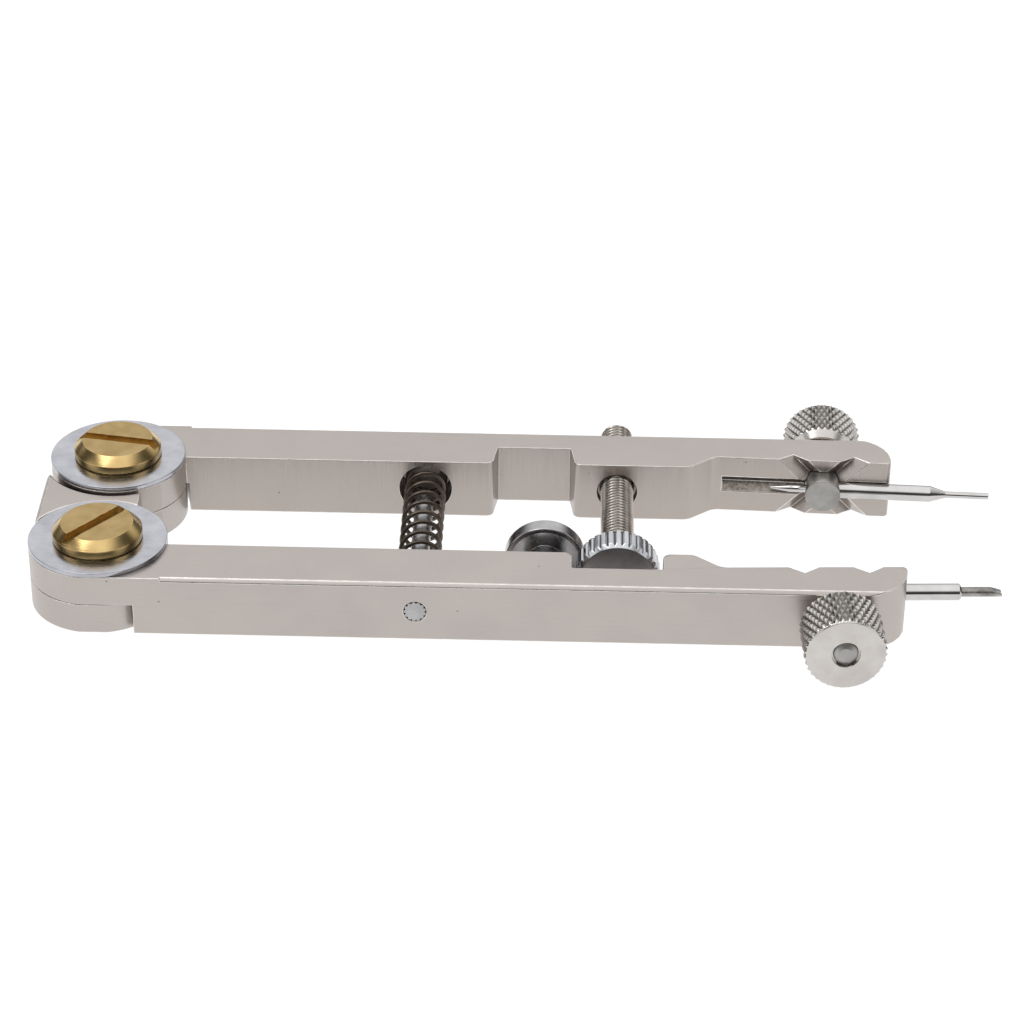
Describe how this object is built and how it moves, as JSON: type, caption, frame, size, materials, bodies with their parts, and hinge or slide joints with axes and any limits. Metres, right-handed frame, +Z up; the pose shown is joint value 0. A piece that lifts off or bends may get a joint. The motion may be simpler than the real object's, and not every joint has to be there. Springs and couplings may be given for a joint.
{
  "type": "spring-bar plier",
  "caption": "Sprung bench plier with two square arms on a bridge, adjustable stops and clamped bits, for pressing a bracelet's spring bar out of its lugs.",
  "frame": {"origin": "on the bridge's flat underside, midway between the two pivots", "axes": "+X along the arms to the tips, +Y from the front arm to the rear arm, +Z up along the pivots"},
  "size_m": [0.1437, 0.0624, 0.0142],
  "materials": {
    "plated_steel": "brushed nickel plating, warm grey",
    "ground_steel": "ground steel, satin",
    "brass": "turned brass, satin",
    "bright_steel": "bright drawn steel",
    "spring_steel": "oil-tempered spring wire, dark bronze",
    "threaded_steel": "rolled thread, bright",
    "wheel_steel": "turned steel, satin",
    "knurled_plating": "nickel-plated knurl",
    "bit_chrome": "polished steel",
    "fork_steel": "dull textured steel"
  },
  "bodies": {
    "bridge": {"bridge": "plated_steel", "front_pivot_washer": "ground_steel", "rear_pivot_washer": "ground_steel", "front_pivot_screw": "brass", "rear_pivot_screw": "brass"},
    "front_arm": {"front_arm": "plated_steel", "spring_guide_pin": "bright_steel", "return_spring": "spring_steel"},
    "rear_arm": {"rear_arm": "plated_steel"},
    "width_rod": {"width_rod": "threaded_steel"},
    "width_wheel": {"width_wheel": "wheel_steel"},
    "catch_screw": {"catch_screw": "wheel_steel"},
    "front_clamp_stud": {"front_clamp_stud": "ground_steel"},
    "rear_clamp_stud": {"rear_clamp_stud": "ground_steel"},
    "front_clamp_nut": {"front_clamp_nut": "knurled_plating"},
    "rear_clamp_nut": {"rear_clamp_nut": "knurled_plating"},
    "front_bit": {"front_bit_barrel": "bit_chrome", "front_fork_tip": "fork_steel"},
    "rear_bit": {"rear_pin_bit": "bit_chrome"}
  },
  "joints": [
    {"name": "front_arm_close", "type": "hinge", "parent": "bridge", "child": "front_arm", "pos_m": [0, -0.012, 0.00475], "axis": [0, 0, 1], "range_deg": [0, 1], "stiffness_Nm_per_rad": 3, "springref_deg": -2.86, "deforming": ["return_spring"]},
    {"name": "rear_arm_close", "type": "hinge", "parent": "bridge", "child": "rear_arm", "pos_m": [0, 0.012, 0.00475], "axis": [0, 0, -1], "range_deg": [0, 1]},
    {"name": "width_rod_travel", "type": "slide", "parent": "rear_arm", "child": "width_rod", "axis": [0, 1, 0], "range_m": [-0.0008, 0]},
    {"name": "width_wheel_turn", "type": "hinge", "parent": "width_rod", "child": "width_wheel", "pos_m": [0.0764, -0.01, 0.00475], "axis": [0, 1, 0], "range_deg": [-360, 0]},
    {"name": "catch_screw_travel", "type": "slide", "parent": "front_arm", "child": "catch_screw", "axis": [0, 1, 0], "range_m": [0, 0.005]},
    {"name": "front_nut_turn", "type": "hinge", "parent": "front_arm", "child": "front_clamp_nut", "pos_m": [0.10858, -0.02604, 0.00475], "axis": [-0.0436, 0.999, 0], "range_deg": [0, 360]},
    {"name": "front_stud_travel", "type": "slide", "parent": "front_arm", "child": "front_clamp_stud", "axis": [-0.0436, 0.999, 0], "range_m": [0, 0.0007]},
    {"name": "front_bit_travel", "type": "slide", "parent": "front_clamp_stud", "child": "front_bit", "axis": [0.999, 0.0436, 0], "range_m": [-0.004, 0.002]},
    {"name": "rear_nut_turn", "type": "hinge", "parent": "rear_arm", "child": "rear_clamp_nut", "pos_m": [0.10858, 0.02604, 0.00475], "axis": [-0.0436, -0.999, 0], "range_deg": [0, 360]},
    {"name": "rear_stud_travel", "type": "slide", "parent": "rear_arm", "child": "rear_clamp_stud", "axis": [-0.0436, -0.999, 0], "range_m": [0, 0.0007]},
    {"name": "rear_bit_travel", "type": "slide", "parent": "rear_clamp_stud", "child": "rear_bit", "axis": [0.999, -0.0436, 0], "range_m": [-0.004, 0.001]}
  ],
  "couplings": [
    {"joint": "rear_arm_close", "follows": "front_arm_close", "ratio": 1},
    {"joint": "width_rod_travel", "follows": "width_wheel_turn", "m_per_rad": 0.00012732},
    {"joint": "front_stud_travel", "follows": "front_nut_turn", "m_per_rad": 0.00011141},
    {"joint": "rear_stud_travel", "follows": "rear_nut_turn", "m_per_rad": 0.00011141}
  ]
}
